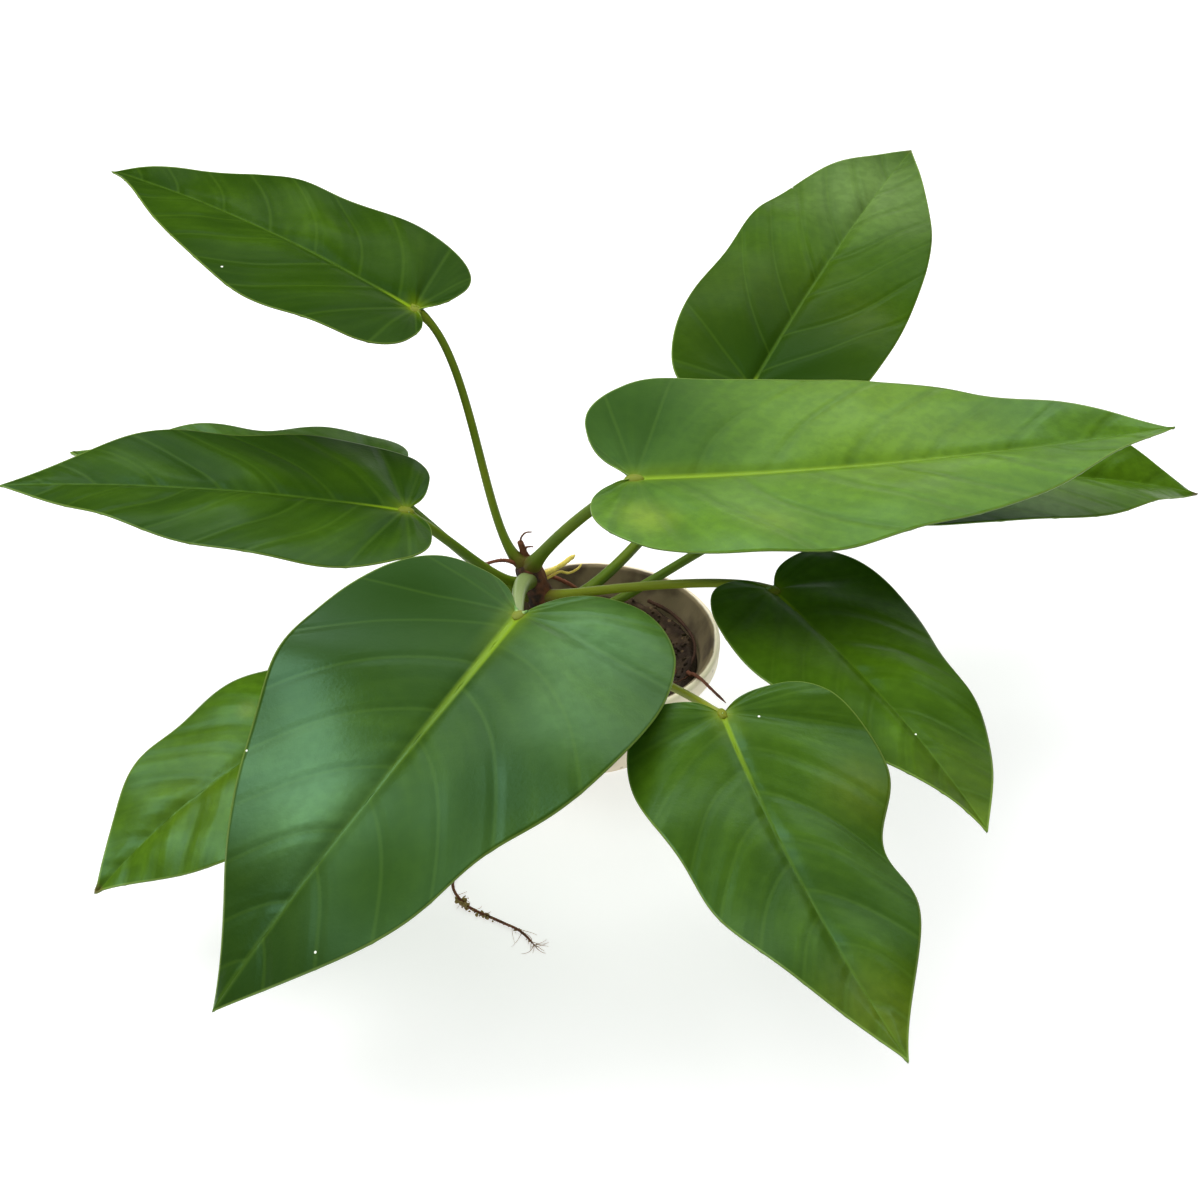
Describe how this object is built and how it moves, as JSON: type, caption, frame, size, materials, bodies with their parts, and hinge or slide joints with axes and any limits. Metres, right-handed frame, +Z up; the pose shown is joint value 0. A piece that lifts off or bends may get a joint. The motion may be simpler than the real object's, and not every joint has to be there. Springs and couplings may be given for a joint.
{
  "type": "potted anthurium",
  "caption": "Aroid house plant with large heart-shaped leathery leaves on arching stalks, rooted in soil in a round tapered pot.",
  "frame": {"origin": "centre of the pot's flat underside", "axes": "+Z up; seen from -Y, the side of the reference view, +X is to the right"},
  "size_m": [0.459, 0.5149, 0.1817],
  "materials": {
    "pot": "matte, stained cream",
    "soil": "moist, crumbly, full of fine roots",
    "stem": "rough red-brown bark",
    "dry_sheath": "dry, fibrous",
    "blade": "satin, leathery, impressed veins",
    "petiole": "smooth, satin",
    "root": "rough, fibrous",
    "root_yellow": "smooth young root"
  },
  "bodies": {
    "root": {"pot": "pot", "soil": "soil", "stem": "stem", "sheath_old": "dry_sheath", "blade_back_left": "blade", "blade_left": "blade", "blade_left_under": "blade", "blade_front_left": "blade", "blade_front_left_under": "blade", "blade_right": "blade", "blade_back_right": "blade", "blade_right_under": "blade", "blade_right_front": "blade", "blade_front_right": "blade", "petiole_back_left": "petiole", "petiole_left": "petiole", "petiole_left_under": "petiole", "petiole_front_left": "petiole", "petiole_front_left_under": "petiole", "petiole_right": "petiole", "petiole_back_right": "petiole", "petiole_right_under": "petiole", "petiole_right_front": "petiole", "petiole_front_right": "petiole", "root_aerial_left": "root", "root_aerial_yellow": "root_yellow", "root_aerial_thin": "root_yellow", "root_red": "root", "root_rusty": "root", "root_wall": "root", "root_over_rim": "root", "root_drain": "root"}
  },
  "joints": []
}
